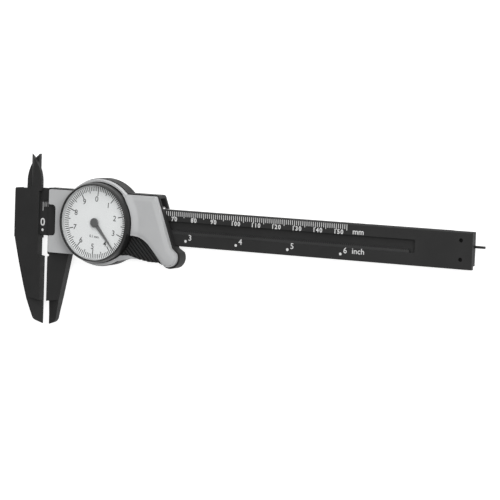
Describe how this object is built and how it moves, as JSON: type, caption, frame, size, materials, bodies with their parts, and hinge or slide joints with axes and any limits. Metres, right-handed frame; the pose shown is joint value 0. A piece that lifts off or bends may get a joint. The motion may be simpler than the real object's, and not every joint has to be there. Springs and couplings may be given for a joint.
{
  "type": "dial caliper",
  "caption": "Plastic dial caliper with outside jaws, crossed inside jaws, a depth rod, a rotating bezel and a rack-driven pointer.",
  "frame": {"origin": "on the fixed outside jaw's measuring plane, at half the beam's height, at the level of the surface that the caliper lies on", "axes": "+X along the beam away from the fixed jaw, +Y towards the inside jaws, +Z out of the dial, away from the surface"},
  "size_m": [0.2321, 0.0789, 0.015],
  "materials": {
    "black_plastic": "fine matte black fibre-filled plastic",
    "rack_plastic": "dark moulded rack",
    "grey_plastic": "light grey satin plastic",
    "bezel_plastic": "black plastic, slightly glossy",
    "dial_white": "matt white printed dial",
    "dial_print": "dark grey printing",
    "scale_print": "white printing in the beam and carriage",
    "spacer_grey": "grey spacer ring",
    "crystal": "clear moulded window",
    "hand_grey": "grey lacquered hand",
    "hub_grey": "dark grey hub cap",
    "rod_steel": "blackened drawn steel wire",
    "rivet_steel": "blackened steel",
    "screw_steel": "zinc-plated steel",
    "spring_steel": "polished spring steel",
    "brass": "turned brass"
  },
  "bodies": {
    "beam": {"beam_and_fixed_jaw": "black_plastic", "rack_strip": "rack_plastic", "end_stop": "black_plastic", "end_stop_rivets": "rivet_steel"},
    "slider": {"carriage_and_moving_jaw": "black_plastic", "front_cover": "grey_plastic", "back_plate": "black_plastic", "back_plate_screws": "screw_steel", "gib_spring": "spring_steel", "bearing_bridge": "brass", "bridge_screws": "screw_steel", "lower_bushing": "brass", "upper_bushing": "brass", "bezel_friction_ring": "spring_steel", "depth_rod": "rod_steel"},
    "bezel": {"bezel_ring": "bezel_plastic", "dial_plate": "dial_white", "dial_spacer_ring": "spacer_grey", "dial_crystal": "crystal"},
    "pointer": {"pointer_hand": "hand_grey", "hand_hub_cap": "hub_grey", "pointer_arbor": "rod_steel", "pinion": "brass"}
  },
  "joints": [
    {"name": "slider_travel", "type": "slide", "parent": "beam", "child": "slider", "axis": [1, 0, 0], "range_m": [-0.00375, 0.14625]},
    {"name": "bezel_turn", "type": "hinge", "parent": "slider", "child": "bezel", "pos_m": [0.0328, 0.0003, 0.012], "axis": [0, 0, 1], "continuous": true},
    {"name": "pointer_spin", "type": "hinge", "parent": "slider", "child": "pointer", "pos_m": [0.0328, 0.0003, 0.012], "axis": [0, 0, 1], "range_deg": [-5266, 136]}
  ],
  "couplings": [
    {"joint": "pointer_spin", "follows": "slider_travel", "rad_per_m": -628.32}
  ]
}
